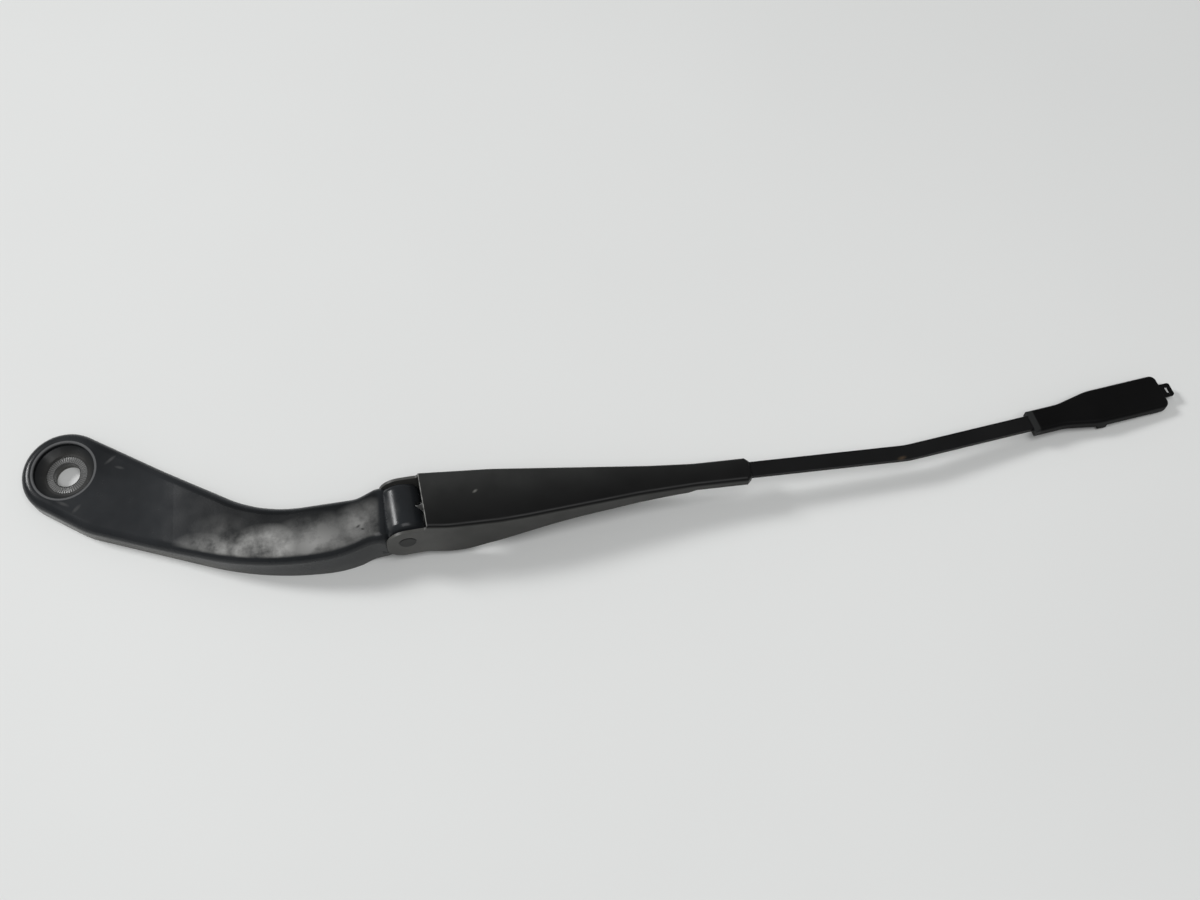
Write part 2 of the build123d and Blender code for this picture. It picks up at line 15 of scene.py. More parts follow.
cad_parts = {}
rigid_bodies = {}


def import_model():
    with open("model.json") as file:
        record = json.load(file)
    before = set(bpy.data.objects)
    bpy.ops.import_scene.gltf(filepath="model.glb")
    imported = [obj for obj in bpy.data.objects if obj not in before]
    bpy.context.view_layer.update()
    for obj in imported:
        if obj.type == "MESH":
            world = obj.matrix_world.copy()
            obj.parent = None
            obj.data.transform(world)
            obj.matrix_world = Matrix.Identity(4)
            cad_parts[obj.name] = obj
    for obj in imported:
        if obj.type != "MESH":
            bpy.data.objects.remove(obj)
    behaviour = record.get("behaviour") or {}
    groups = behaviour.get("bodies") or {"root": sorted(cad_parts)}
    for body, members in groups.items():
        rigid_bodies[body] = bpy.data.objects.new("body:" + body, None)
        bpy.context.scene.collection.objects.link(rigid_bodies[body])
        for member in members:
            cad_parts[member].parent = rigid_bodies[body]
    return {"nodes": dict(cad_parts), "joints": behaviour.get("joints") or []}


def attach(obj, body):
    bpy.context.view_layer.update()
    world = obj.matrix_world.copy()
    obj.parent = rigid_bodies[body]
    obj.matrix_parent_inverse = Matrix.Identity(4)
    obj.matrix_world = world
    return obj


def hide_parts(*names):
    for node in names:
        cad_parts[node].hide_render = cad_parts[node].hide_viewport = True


for leftover in list(bpy.data.objects):
    bpy.data.objects.remove(leftover)

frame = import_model()
nodes = frame["nodes"]
joints = {joint["name"]: joint for joint in frame["joints"]}
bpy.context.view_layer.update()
MM = 0.001
print("solids:", sorted(nodes))
print("joints:", sorted(joints))

# %% [markdown]
# The hinge turns in two small bushes of cream plastic. They have the simplest finish on the arm, so
# they come first and show how a finish grows. A material is a tree of shader nodes. Setting one up by
# hand takes a line for every socket, so two helpers do it: one feeds a socket, by a link or by a plain
# value, and one adds a node and feeds its sockets by name. Every finish starts from the Principled
# shader, which can be plastic, paint or metal.

# %% Bushes: an empty finish


def feed(tree, socket, value):
    """Link a socket to a value that is a socket itself, or set it to a plain value."""
    if isinstance(value, bpy.types.NodeSocket):
        tree.links.new(value, socket)
    else:
        socket.default_value = value


def add_node(tree, kind, settings=None, **values):
    """Add a node, change its settings and feed the sockets that are named."""
    node = tree.nodes.new(kind)
    for key, value in (settings or {}).items():
        setattr(node, key, value)
    for key, value in values.items():
        feed(tree, node.inputs[key.replace("_", " ")], value)
    return node


def start_finish(name):
    """A new material with one Principled shader; returns the material, its tree and the shader."""
    material = bpy.data.materials.new(name)
    material.use_nodes = True
    tree = material.node_tree
    return material, tree, tree.nodes["Principled BSDF"]


plastic, plastic_tree, plastic_shader = start_finish("bush_plastic")
print("bush plastic starts with", [node.name for node in plastic_tree.nodes])

# %% [markdown]
# Moulded plastic is never one flat colour. Its clouds could come from a picture wrapped round the
# bush, but noise that is worked out at every point has no seams and no pixels. It reads Object
# coordinates. Each solid sits at the origin, so these are the model's own metres, and a pattern stays
# in its place on a piece when the arm folds. A colour ramp turns the cloudy value into tones. Noise
# seldom leaves the middle of its range, so the ramp's ends lie at 0.3 and 0.7.

# %% Bushes: clouds in the colour
CLOUD_LOW = 0.3
CLOUD_HIGH = 0.7
PLASTIC_CLOUD = 4 * MM
PLASTIC_DARK = (0.50, 0.47, 0.40)
PLASTIC_LIGHT = (0.60, 0.57, 0.50)


def object_place(tree):
    """The point being shaded, in the model's own metres."""
    return add_node(tree, "ShaderNodeTexCoord").outputs["Object"]


def noise(tree, place, size, detail=3.0, roughness=0.5):
    """Cloudy value from 0 to 1 with blots of about the given size in metres."""
    node = add_node(
        tree, "ShaderNodeTexNoise", Vector=place, Scale=1 / size, Detail=detail, Roughness=roughness,
    )
    return node.outputs["Fac"]


def ramp(tree, value, *stops):
    """Colour ramp; each stop is a position and a colour or a grey."""
    node = add_node(tree, "ShaderNodeValToRGB", Fac=value)
    elements = node.color_ramp.elements
    while len(elements) < len(stops):
        elements.new(1.0)
    for element, (position, tone) in zip(elements, stops):
        element.position = position
        element.color = (tone, tone, tone, 1) if isinstance(tone, float) else (*tone, 1)
    return node.outputs["Color"]


def clouds(tree, place, size, low, high, detail=3.0):
    """Noise of a given size, from a low tone to a high one."""
    return ramp(tree, noise(tree, place, size, detail), (CLOUD_LOW, low), (CLOUD_HIGH, high))


plastic_place = object_place(plastic_tree)
plastic_colour = clouds(plastic_tree, plastic_place, PLASTIC_CLOUD, PLASTIC_DARK, PLASTIC_LIGHT)
feed(plastic_tree, plastic_shader.inputs["Base Color"], plastic_colour)
print("bush plastic has clouds of", PLASTIC_CLOUD / MM, "mm")

# %% [markdown]
# A mould leaves a fine grain on plastic. As real dents it would take millions of faces, so a bump node
# only tilts the light there. That is right for what is too small to show in an outline. The finished
# material then takes the place of the plain one that the solid was loaded with.

# %% Bushes: grain, and the solids dressed
PLASTIC_GRAIN = 0.5 * MM
GRAIN_DEPTH = 0.02 * MM
PLASTIC_ROUGHNESS = 0.45


def surface_bump(tree, shader, height, depth):
    """Bump of a given depth in metres on the shader."""
    bump = add_node(tree, "ShaderNodeBump", Height=height, Distance=depth)
    feed(tree, shader.inputs["Normal"], bump.outputs[0])


def dress(node, material):
    """Give a solid its finish."""
    nodes[node].data.materials.clear()
    nodes[node].data.materials.append(material)
    print(node, "wears", material.name, "of", len(material.node_tree.nodes), "shader nodes")


plastic_shader.inputs["Roughness"].default_value = PLASTIC_ROUGHNESS
surface_bump(plastic_tree, plastic_shader, noise(plastic_tree, plastic_place, PLASTIC_GRAIN), GRAIN_DEPTH)
dress("hinge_bush_near", plastic)
dress("hinge_bush_far", plastic)

# %% [markdown]
# The other works under the channel are bare steel: a ground pin, a plated link and a darker coil of
# spring wire. Bare steel could be a clean mirror with scratches, but these pieces have gone dull in
# patches. So the same clouds set the tone and the roughness, and where the metal is paler it is duller
# too. One function makes all three, each with its own tone and gloss.

# %% Bare steel
STEEL_CLOUD = 6 * MM
STEEL_DETAIL = 4.0
STEEL_DARKER = 0.8
STEEL_DULLER = 0.12
STEEL_GRAIN = 0.6 * MM
FINE_DETAIL = 2.0


def dull_steel(name, tone, gloss):
    """Bare steel that has gone dull in patches; gloss is its lowest roughness."""
    material, tree, shader = start_finish(name)
    place = object_place(tree)
    dark = [value * STEEL_DARKER for value in tone]
    colour = clouds(tree, place, STEEL_CLOUD, dark, tone, STEEL_DETAIL)
    rough = clouds(tree, place, STEEL_CLOUD, gloss, gloss + STEEL_DULLER, STEEL_DETAIL)
    feed(tree, shader.inputs["Base Color"], colour)
    feed(tree, shader.inputs["Roughness"], rough)
    shader.inputs["Metallic"].default_value = 1.0
    surface_bump(tree, shader, noise(tree, place, STEEL_GRAIN, FINE_DETAIL), GRAIN_DEPTH)
    return material


dress("anchor_pin", dull_steel("pin_steel", tone=(0.55, 0.54, 0.52), gloss=0.32))
dress("spring_link", dull_steel("link_steel", tone=(0.42, 0.41, 0.39), gloss=0.38))
spring_steel = dull_steel("spring_steel", tone=(0.16, 0.15, 0.145), gloss=0.36)
print(spring_steel.name, "waits for the wound spring")

# %% [markdown]
# All that shows from above is painted with the same kind of thin satin coat: nearly black, a little
# uneven, with a fine orange peel that only shows in the highlights. Each piece could have its tree
# wired by hand, but then five trees would have to be kept alike. One function makes the coat, and each
# piece asks for its tone, its gloss (the roughness) and its shine (how strongly it mirrors). What years
# of use left on top, and some painted light and shade, comes as a list of marks, each a mask and the
# tone that shows there.

# %% Satin paint
PEEL_SIZE = 0.9 * MM
PEEL_DEPTH = 0.012 * MM
TONE_CLOUD = 35 * MM
TONE_RANGE = (0.75, 1.3)
GLOSS_CLOUD = 12 * MM
GLOSS_RANGE = (-0.04, 0.05)
MIX_AMOUNT, MIX_FIRST, MIX_SECOND, MIX_RESULT = 0, 6, 7, 2


def calculate(tree, operation, first, second):
    """Result of a Math node on two values."""
    node = add_node(tree, "ShaderNodeMath", {"operation": operation})
    feed(tree, node.inputs[0], first)
    feed(tree, node.inputs[1], second)
    return node.outputs[0]


def cover(tree, mask, colour, tone):
    """A colour with a tone laid over it where the mask is 1."""
    node = add_node(tree, "ShaderNodeMix", {"data_type": "RGBA"})
    feed(tree, node.inputs[MIX_AMOUNT], mask)
    feed(tree, node.inputs[MIX_FIRST], colour)
    feed(tree, node.inputs[MIX_SECOND], (*tone, 1))
    return node.outputs[MIX_RESULT]


def satin_paint(name, tone, gloss, shine, marks, relief=None):
    """Satin black coat; marks and relief are functions of the tree and the place."""
    material, tree, shader = start_finish(name)
    place = object_place(tree)
    dark, light = ([value * factor for value in tone] for factor in TONE_RANGE)
    colour = clouds(tree, place, TONE_CLOUD, dark, light)
    for mask, mark_tone in marks(tree, place):
        colour = cover(tree, mask, colour, mark_tone)
    smooth, dull = (gloss + change for change in GLOSS_RANGE)
    feed(tree, shader.inputs["Base Color"], colour)
    feed(tree, shader.inputs["Roughness"], clouds(tree, place, GLOSS_CLOUD, smooth, dull))
    shader.inputs["Specular IOR Level"].default_value = shine
    height = noise(tree, place, PEEL_SIZE, FINE_DETAIL)
    if relief:
        height = calculate(tree, "ADD", height, relief(tree, place))
    surface_bump(tree, shader, height, PEEL_DEPTH)
    return material


print("satin paint has a peel of", PEEL_SIZE / MM, "mm,", PEEL_DEPTH / MM, "mm deep")

# %% [markdown]
# The cast head has seen the most use, and its marks come in four layers. The lowest is dust, which
# clings to the foot of the walls, thickest at the boss, over faint smears. Its pale tone also paints in
# the light that the bright table throws up onto the walls. Masks for it could be painted by hand, but
# dust and that bounce light follow height, so the height itself is the mask: a fade runs from 0 to 1
# between two heights, and clouds break it up.

# %% Head: dust, painted bounce light and smears
HEAD_CLOUD = 14 * MM
HEAD_CLOUD_DETAIL = 6.0
HEAD_CLOUD_ROUGHNESS = 0.6
HEAD_CLOUD_STOPS = ((0.34, 0.12), (0.62, 1.0))
SMEAR_SIZE = 30 * MM
SMEAR_DETAIL = 4.0
SMEAR_STOPS = ((0.42, 0.0), (0.75, 0.2))
SMEAR_TONE = (0.055, 0.057, 0.06)
DUST_AND_BOUNCE_HEIGHTS = (10, 1)
DUST_AND_BOUNCE_RAGGED_STOPS = ((0.0, 0.45), (1.0, 0.9))
DUST_AND_BOUNCE_THINS_OUT = (60, 110)
DUST_AND_BOUNCE_THIN_STOPS = ((0.0, 1.0), (1.0, 0.25))
# the dust's pale tone also paints in bounce light from the table
DUST_AND_BOUNCE_TONE = (0.105, 0.102, 0.093)


def axes(tree, place):
    """The three coordinates of a place."""
    return add_node(tree, "ShaderNodeSeparateXYZ", Vector=place).outputs[:]


def fade(tree, value, start, end):
    """0 at start and 1 at end, in mm along a value in metres, eased between."""
    node = add_node(
        tree, "ShaderNodeMapRange", {"interpolation_type": "SMOOTHSTEP"}, Value=value,
        From_Min=start * MM, From_Max=end * MM,
    )
    return node.outputs[0]


def times(tree, first, *others):
    """Product of several values."""
    product = first
    for value in others:
        product = calculate(tree, "MULTIPLY", product, value)
    return product


def head_clouds(tree, place):
    """Ragged clouds that break up the marks on the head."""
    cloud = noise(tree, place, HEAD_CLOUD, HEAD_CLOUD_DETAIL, HEAD_CLOUD_ROUGHNESS)
    return ramp(tree, cloud, *HEAD_CLOUD_STOPS)


def dust_and_bounce_marks(tree, place):
    """Faint smears all over, and dust with painted bounce light at the foot of the walls that thins out
    along the head.
    """
    along, _, upright = axes(tree, place)
    smear = ramp(tree, noise(tree, place, SMEAR_SIZE, SMEAR_DETAIL), *SMEAR_STOPS)
    ragged = ramp(tree, head_clouds(tree, place), *DUST_AND_BOUNCE_RAGGED_STOPS)
    thinner = ramp(tree, fade(tree, along, *DUST_AND_BOUNCE_THINS_OUT), *DUST_AND_BOUNCE_THIN_STOPS)
    # this mask carries dust and painted bounce light
    dust_and_bounce = times(tree, fade(tree, upright, *DUST_AND_BOUNCE_HEIGHTS), ragged, thinner)
    return [(smear, SMEAR_TONE), (dust_and_bounce, DUST_AND_BOUNCE_TONE)]


print("dust reaches up to", DUST_AND_BOUNCE_HEIGHTS[0], "mm on the head's walls")

# %% [markdown]
# The second layer is a grey haze in clouds along the near half of the rising top, which also paints
# in the sheen that the light leaves there. Beside it, painted shade darkens the middle of the top to a
# deep black. A cloud of haze is an oval: a ball-shaped gradient, stretched and turned by a Mapping node.
# The strongest of several ovals wins at each point. The haze and the painted shade lie on the top alone
# and not on the rounded edge, so one more mask asks how high a point lies over the slope of the top,
# which rises 0.1244 mm for each mm along the head.

# %% Head: haze, painted sheen and painted shade on the top
HAZE_AND_SHEEN_OVALS = (
    (0.17, ((82, -45, 14), (18, 11, 12), -15)),
    (0.66, ((80, -53, 15.5), (26, 10, 12), -12)),
    (1.1, ((101, -57, 19), (28, 14, 12), -2)),
    (0.48, ((128, -58, 22), (32, 17, 12), 2)),
    (0.45, ((152, -51, 25), (22, 13, 12), 12)),
)
HAZE_AND_SHEEN_STOPS = ((0.0, 0.0), (0.6, 0.9))
# the haze's grey is partly a painted sheen
HAZE_AND_SHEEN_TONE = (0.36, 0.36, 0.35)
TOP_RISE = 0.1244
TOP_FADE = (5.2, 5.95)
# painted shade: darkens the middle of the top
SHADE_START = (45, 90)
SHADE_END = (166, 156)
SHADE_AMOUNT = 0.85
PAINTED_SHADE_TONE = (0.0045, 0.0052, 0.0058)


def patch(tree, place, centre, reach, turn):
    """1 at a centre and 0 at the rim of an oval, in mm, turned about the vertical in degrees."""
    mapped = add_node(
        tree, "ShaderNodeMapping", {"vector_type": "TEXTURE"}, Vector=place,
        Location=[value * MM for value in centre], Rotation=(0, 0, radians(turn)),
        Scale=[value * MM for value in reach],
    )
    ball = add_node(
        tree, "ShaderNodeTexGradient", {"gradient_type": "SPHERICAL"}, Vector=mapped.outputs[0],
    )
    return ball.outputs["Fac"]


def most(tree, values):
    """The largest of several values."""
    largest = values[0]
    for value in values[1:]:
        largest = calculate(tree, "MAXIMUM", largest, value)
    return largest


def haze_sheen_and_shade_marks(tree, place):
    """Painted shade along the middle of the top, and haze with painted sheen in ovals on its near half.
    """
    along, _, upright = axes(tree, place)
    over_slope = calculate(tree, "SUBTRACT", upright, times(tree, along, TOP_RISE))
    top = fade(tree, over_slope, *TOP_FADE)
    middle = times(tree, fade(tree, along, *SHADE_START), fade(tree, along, *SHADE_END))
    ovals = [times(tree, patch(tree, place, *oval), strength) for strength, oval in HAZE_AND_SHEEN_OVALS]
    thick = ramp(tree, most(tree, ovals), *HAZE_AND_SHEEN_STOPS)
    # this mask carries haze and painted sheen
    haze_and_sheen = times(tree, thick, head_clouds(tree, place), top)
    # the first mark is painted shade, the second haze with painted sheen
    return [(times(tree, top, middle, SHADE_AMOUNT), PAINTED_SHADE_TONE), (haze_and_sheen, HAZE_AND_SHEEN_TONE)]


print("haze is made of", len(HAZE_AND_SHEEN_OVALS), "ovals")

# %% [markdown]
# The third layer lies in the recess of the boss. A nut's flange has pressed a ring of fine teeth into
# its seat, and the lip round the recess is rubbed bright, with a painted highlight on it as well. Rings
# are easy: they depend only on the distance from the spindle's axis, which is the model's upright axis.
# The teeth could be cut as geometry, but they are a fraction of a millimetre deep. So the angle round
# the axis is folded into a saw that serves twice, as a pale tone and as relief.

# %% Head: seat, teeth and lip
SEAT_RING = (7.2, 10.2)
SEAT_SOFT = 0.3
SEAT_HEIGHTS = (3, 5)
SEAT_TONE = (0.065, 0.066, 0.066)
SEAT_TEETH = 52
HALF_TOOTH = 0.5
TOOTH_SOFT = 0.2
TOOTH_HEIGHT = 15.0
TOOTH_PALENESS = 0.6
TOOTH_TONE = (0.22, 0.22, 0.215)
LIP_RING = (15.7, 16.5)
LIP_SOFT = 0.4
LIP_HEIGHTS = (10.5, 11.3)
LIP_PALENESS = 0.8
# the lip's pale tone is rubbed paint and a painted highlight
LIP_WEAR_AND_HIGHLIGHT_TONE = (0.13, 0.132, 0.135)
ROUND_UPRIGHT = (1, 1, 0)


def distance(tree, place, keep):
    """Distance from the axis that the keep vector leaves out."""
    flat = add_node(tree, "ShaderNodeVectorMath", {"operation": "MULTIPLY"})
    feed(tree, flat.inputs[0], place)
    feed(tree, flat.inputs[1], keep)
    length = add_node(tree, "ShaderNodeVectorMath", {"operation": "LENGTH"})
    feed(tree, length.inputs[0], flat.outputs[0])
    return length.outputs["Value"]


def band(tree, value, start, end, soft):
    """1 between start and end, in mm, with soft flanks of a given width outside."""
    rise = fade(tree, value, start - soft, start)
    return times(tree, rise, fade(tree, value, end + soft, end))


def seat_teeth(tree, place):
    """Saw of fine radial teeth on the nut seat, from 0 to 1."""
    angle = add_node(tree, "ShaderNodeTexGradient", {"gradient_type": "RADIAL"}, Vector=place)
    saw = calculate(tree, "PINGPONG", times(tree, angle.outputs["Fac"], SEAT_TEETH), HALF_TOOTH)
    ring = band(tree, distance(tree, place, ROUND_UPRIGHT), *SEAT_RING, TOOTH_SOFT)
    return times(tree, ring, saw, 1 / HALF_TOOTH)


def seat_relief(tree, place):
    """Height of the seat's teeth, in peel depths."""
    return times(tree, seat_teeth(tree, place), TOOTH_HEIGHT)


def seat_marks(tree, place):
    """The pressed seat with its teeth, and the lip of the recess, rubbed and with a painted highlight."""
    upright = axes(tree, place)[2]
    radius = distance(tree, place, ROUND_UPRIGHT)
    seat = times(tree, band(tree, radius, *SEAT_RING, SEAT_SOFT), fade(tree, upright, *SEAT_HEIGHTS))
    rim = band(tree, radius, *LIP_RING, LIP_SOFT)
    lip = times(tree, rim, fade(tree, upright, *LIP_HEIGHTS), LIP_PALENESS)
    teeth = times(tree, seat_teeth(tree, place), TOOTH_PALENESS)
    return [(seat, SEAT_TONE), (teeth, TOOTH_TONE), (lip, LIP_WEAR_AND_HIGHLIGHT_TONE)]


print("the seat has", SEAT_TEETH, "teeth from", SEAT_RING[0], "to", SEAT_RING[1], "mm out")

# %% [markdown]
# The last layer is single marks: four pale scratches round the boss and two dark nicks near the
# hinge. They could be cut into the mesh, but at this size only their tone shows, so they are long
# thin ovals of the same kind as the haze. Then the layers are stacked, lowest first, and the head
# gets its paint, the palest and glossiest of the five.

# %% Head: scratches, nicks and the finished paint
SCRATCHES = (
    ((23.5, 3.3, 12), (4.5, 1.2, 2), 38),
    ((28.5, -1.5, 12), (3.5, 1.0, 2), -20),
    ((7.6, -22.4, 12), (4.0, 1.4, 2), 48),
    ((0.5, -18.6, 12), (5.0, 1.2, 2), -28),
)
SCRATCH_STOPS = ((0.1, 0.0), (0.7, 1.0))
SCRATCH_TONE = (0.055, 0.056, 0.057)
NICKS = (
    ((150.4, -52.4, 25), (1.8, 0.9, 2), 30),
    ((152.6, -54.2, 25), (1.2, 0.7, 2), -20),
)
NICK_TONE = (0.004, 0.004, 0.005)


def scratch_marks(tree, place):
    """Pale scratches, broken up by the clouds, and dark nicks."""
    lines = most(tree, [patch(tree, place, *line) for line in SCRATCHES])
    scratches = times(tree, ramp(tree, lines, *SCRATCH_STOPS), head_clouds(tree, place))
    nicks = most(tree, [patch(tree, place, *nick) for nick in NICKS])
    return [(scratches, SCRATCH_TONE), (nicks, NICK_TONE)]


def head_marks(tree, place):
    """All layers of marks on the head, lowest first."""
    layers = (dust_and_bounce_marks, haze_sheen_and_shade_marks, seat_marks, scratch_marks)
    return [mark for layer in layers for mark in layer(tree, place)]


HEAD_TONE = (0.0135, 0.0150, 0.0168)
head_paint = satin_paint(
    "head_paint", HEAD_TONE, gloss=0.24, shine=0.22, marks=head_marks, relief=seat_relief,
)
dress("arm_head", head_paint)

# %% [markdown]
# The marks on the other painted pieces follow the arm and not the model's axes. Each mask could be
# tilted by itself, but it is simpler to turn the place once, into the arm's own frame: the hinge is
# its origin, x runs along the channel, y to the far side and z out of its top. The arm leans by three
# small angles, about x, then y, then z. The hinge's place is read from the joint in the model.

# %% The arm's own frame
ARM_TURN = (-5.0, 3.2, 6.0)

arm_turn = Matrix.Identity(3)
for angle, axis in zip(ARM_TURN, "XYZ"):
    arm_turn = arm_turn @ Matrix.Rotation(radians(angle), 3, axis)
hinge_place = Vector(joints["arm_fold"]["pos_m"])


def arm_place(tree, place):
    """The place in the arm's own frame."""
    mapped = add_node(
        tree, "ShaderNodeMapping", {"vector_type": "TEXTURE"}, Vector=place,
        Location=hinge_place, Rotation=arm_turn.to_euler(),
    )
    return mapped.outputs[0]


print("the hinge lies at", [round(value / MM, 1) for value in hinge_place], "mm")

# %% [markdown]
# The hinge rivet ends in a flush disc in the near ear. A dark arc lies in the joint between the two,
# over the upper half. It lies partly on the rivet and partly on the ear. Two masks might not meet, so
# one mask round the hinge axis serves both pieces: a thin ring, faded out below the middle.

# %% Rivet
RIVET_R = 4.25
RIVET_TONE = (0.007, 0.007, 0.007)
ARC_HALF_WIDTH = 0.25
ARC_SOFT = 0.35
ARC_HEIGHTS = (-0.5, 2.5)
# tone of the dark arc over the upper rim of the rivet
DARK_ARC_TONE = (0.002, 0.002, 0.002)
ROUND_HINGE = (1, 0, 1)


def rivet_dark_arc(tree, place):
    """Dark arc over the upper rim of the rivet."""
    along = arm_place(tree, place)
    radius = distance(tree, along, ROUND_HINGE)
    rim = band(tree, radius, RIVET_R - ARC_HALF_WIDTH, RIVET_R + ARC_HALF_WIDTH, ARC_SOFT)
    return times(tree, rim, fade(tree, axes(tree, along)[2], *ARC_HEIGHTS))


def rivet_marks(tree, place):
    """The dark arc on the rivet's own rim."""
    return [(rivet_dark_arc(tree, place), DARK_ARC_TONE)]


dress("hinge_pin", satin_paint("rivet_paint", RIVET_TONE, gloss=0.4, shine=0.3, marks=rivet_marks))

# %% [markdown]
# The channel is folded sheet in a flatter, deeper black. Its top panel is greyer towards the far edge
# than at the near fold. The walls are paler, with dust and a painted reflection of the bright table,
# and the ears at the hinge most of all. The cut edge of the sheet over the hinge is rubbed to a pale,
# broken line that also paints in a highlight, and there is one small scuff on the panel. Each mark is a
# fade or a band along one axis of the arm's frame.

# %% Channel
CHANNEL_TONE = (0.0036, 0.0037, 0.0037)
CHANNEL_CLOUD = 20 * MM
CHANNEL_CLOUD_RANGE = (0.55, 1.0)
CHANNEL_DETAIL = 5.0
PANEL_HEIGHTS = (12.4, 13.5)
# the panel is greyer towards its far edge than at the near fold
PANEL_GREYING = (-17, 14)
PANEL_GREY_TONE = (0.032, 0.033, 0.032)
WALL_HEIGHTS = (13.0, 11.4)
# wall and ear tones are dust and a painted reflection of the bright table
WALL_DUST_AND_BOUNCE_TONE = (0.045, 0.045, 0.042)
EAR_DUST_AND_BOUNCE = (32, 8)
EAR_DUST_AND_BOUNCE_TONE = (0.085, 0.085, 0.081)
REAR_EDGE = (9.0, 10.25)
REAR_EDGE_SOFT = 0.3
REAR_EDGE_HEIGHTS = (12.6, 13.4)
REAR_EDGE_BREAKS = 3 * MM
REAR_EDGE_BREAK_STOPS = ((0.35, 0.3), (0.6, 1.0))
# the rear edge's pale line is rubbed paint and a painted highlight
REAR_EDGE_WEAR_AND_HIGHLIGHT_TONE = (0.28, 0.28, 0.27)
SCUFF = ((36.4, -0.5, 13.6), (1.8, 0.9, 2), 30)
SCUFF_TONE = (0.14, 0.14, 0.13)
EAR_ARC = 0.9


def channel_marks(tree, place):
    """A panel greyer towards its far edge, dust and painted bounce light on the walls and the ears, the
    rear edge rubbed and with a painted highlight, a scuff and the dark arc round the rivet.
    """
    along = arm_place(tree, place)
    x, y, z = axes(tree, along)
    cloud = clouds(tree, place, CHANNEL_CLOUD, *CHANNEL_CLOUD_RANGE, CHANNEL_DETAIL)
    panel = times(tree, fade(tree, y, *PANEL_GREYING), fade(tree, z, *PANEL_HEIGHTS), cloud)
    # the wall and ear masks carry dust and painted bounce light
    wall = times(tree, fade(tree, z, *WALL_HEIGHTS), cloud)
    ear = times(tree, wall, fade(tree, x, *EAR_DUST_AND_BOUNCE))
    breaks = ramp(tree, noise(tree, place, REAR_EDGE_BREAKS), *REAR_EDGE_BREAK_STOPS)
    line = band(tree, x, *REAR_EDGE, REAR_EDGE_SOFT)
    # rubbed edge with a painted highlight
    edge = times(tree, line, fade(tree, z, *REAR_EDGE_HEIGHTS), breaks)
    dark_arc = times(tree, rivet_dark_arc(tree, place), EAR_ARC)
    return [
        (panel, PANEL_GREY_TONE),
        (wall, WALL_DUST_AND_BOUNCE_TONE),
        (ear, EAR_DUST_AND_BOUNCE_TONE),
        (edge, REAR_EDGE_WEAR_AND_HIGHLIGHT_TONE),
        (patch(tree, along, *SCUFF), SCUFF_TONE),
        (dark_arc, DARK_ARC_TONE),
    ]


dress("channel", satin_paint("arm_paint", CHANNEL_TONE, gloss=0.38, shine=0.2, marks=channel_marks))

# %% [markdown]
# The rod is a flat steel bar in the same dull black. Its one mark is a rusty nick on the top at the
# bend. It could be a dent in the mesh, but from a step away only the rust shows, so it is one more
# oval, placed in the arm's frame.

# %% Rod
ROD_TONE = (0.0055, 0.0056, 0.0058)
ROD_NICK = ((253.1, -21.4, 12.2), (3.0, 1.4, 2), 10)
RUST_TONE = (0.06, 0.042, 0.026)


def rod_marks(tree, place):
    """A rusty nick at the bend."""
    return [(patch(tree, arm_place(tree, place), *ROD_NICK), RUST_TONE)]


dress("rod", satin_paint("rod_paint", ROD_TONE, gloss=0.42, shine=0.16, marks=rod_marks))

# %% [markdown]
# The pressed fitting at the tip is the blackest piece, and it mirrors least. A painted reflection greys
# only the sloped rear edge, where the fitting closes round the rod. The rod's last stretch has a heading
# of its own, so the arm's place is turned once more, about the point where the fitting starts, and a band
# across it makes the edge.

# %% End fitting
FITTING_TONE = (0.003, 0.003, 0.0031)
TIP_START = (326.6, -13.37, 0)
TIP_TURN = 4.2
REAR_BAND = (-1, 2.6)
REAR_BAND_SOFT = 0.8
REAR_BAND_AMOUNT = 0.8
# the band's grey is a painted reflection of the bright room
REAR_BAND_REFLECTION_TONE = (0.022, 0.023, 0.023)


def fitting_marks(tree, place):
    """Painted reflection on the sloped rear edge."""
    tip_place = add_node(
        tree, "ShaderNodeMapping", {"vector_type": "TEXTURE"}, Vector=arm_place(tree, place),
        Location=[value * MM for value in TIP_START], Rotation=(0, 0, radians(TIP_TURN)),
    )
    from_rear = axes(tree, tip_place.outputs[0])[0]
    rear = times(tree, band(tree, from_rear, *REAR_BAND, REAR_BAND_SOFT), REAR_BAND_AMOUNT)
    return [(rear, REAR_BAND_REFLECTION_TONE)]


fitting_paint = satin_paint("fitting_paint", FITTING_TONE, gloss=0.45, shine=0.09, marks=fitting_marks)
dress("end_fitting", fitting_paint)

# %% [markdown]
# Under the channel a spring pulls the arm down on the glass. It hooks into the free end of the link
# and into a hole in the rod's tail. Its tilt could be set by eye, but a hook that misses its hole shows
# at once, so the spring's length and direction are worked out from the two holes, in the arm's own
# frame. The link swings on the anchor pin, whose place is read from the model, and points at the
# rod's hole.

# %% Spring: where it hangs
LINK_LENGTH = 40 * MM
ROD_HOLE = Vector((104.0, -8.584, 6.6)) * MM

anchor = arm_turn.transposed() @ (Vector(joints["link_swing"]["pos_m"]) - hinge_place)
link_way = ROD_HOLE - anchor
link_lift = atan2(link_way.z, link_way.x)
link_hole = anchor + Vector((cos(link_lift), 0, sin(link_lift))) * LINK_LENGTH
span = ROD_HOLE - link_hole
print("the spring's holes are", round(span.length / MM, 2), "mm apart")

# %% [markdown]
# The coil is one wire, wound without gaps. It could be a curve with a round bevel, but the hooks need
# sharp, exact bends. Instead a ring of wire is spun about the coil's axis and shifted a little at each
# step. The coil lies along x, with the link's hole at 0. It starts and ends so far round that each
# wire end, once it is bent out of the last turn, lies in line with its hook.

